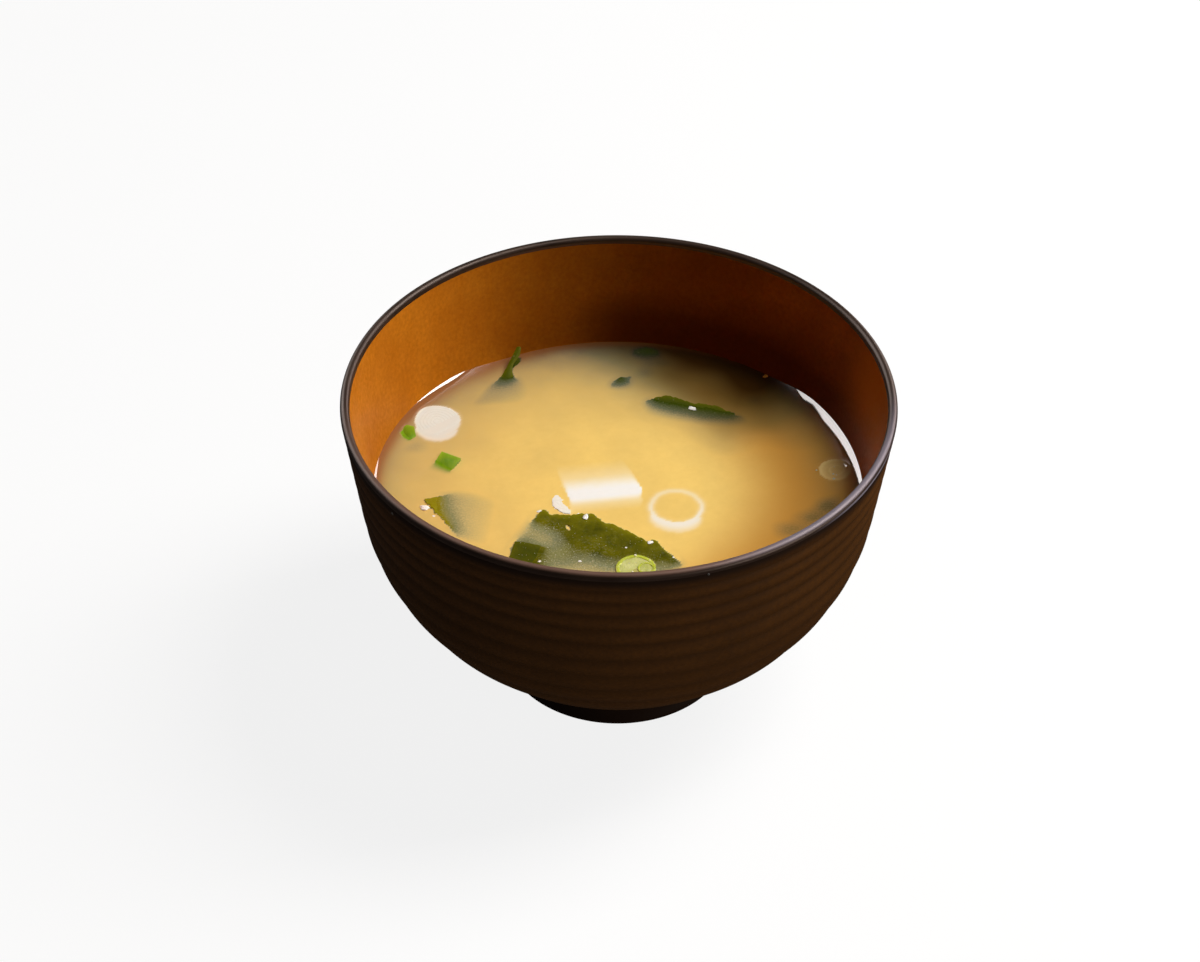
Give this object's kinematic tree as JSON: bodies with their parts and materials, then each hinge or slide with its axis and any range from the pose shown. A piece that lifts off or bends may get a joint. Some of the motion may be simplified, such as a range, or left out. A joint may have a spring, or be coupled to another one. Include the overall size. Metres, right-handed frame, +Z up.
{
  "type": "bowl of miso soup",
  "caption": "Ribbed brown lacquer bowl on a foot ring, filled with cloudy soup in which tofu, seaweed leaves, leek rounds and spring onion float.",
  "frame": {"origin": "centre of the foot ring's underside", "axes": "+Z up along the bowl's axis, +X to the right and +Y to the back as the bowl is seen in use"},
  "size_m": [0.115, 0.115, 0.0708],
  "materials": {
    "lacquer": "satin brown lacquer, black at the lip, orange brown inside",
    "broth": "wet, cloudy",
    "tofu": "wet, smooth curd",
    "leek": "wet, fine rings",
    "onion_green": "wet, fine ribs",
    "onion_pale": "wet, half clear",
    "wakame": "wet, speckled"
  },
  "bodies": {
    "root": {"bowl": "lacquer", "soup": "broth", "tofu": "tofu", "tofu_crumb": "tofu", "leek_disc": "leek", "leek_ring": "leek", "onion_slice_front": "onion_pale", "onion_slice_right": "onion_pale", "onion_square": "onion_green", "onion_bit": "onion_green", "wakame_front": "wakame", "wakame_left": "wakame", "wakame_strand": "wakame", "wakame_back": "wakame", "wakame_small": "wakame", "wakame_ridge": "wakame"}
  },
  "joints": []
}
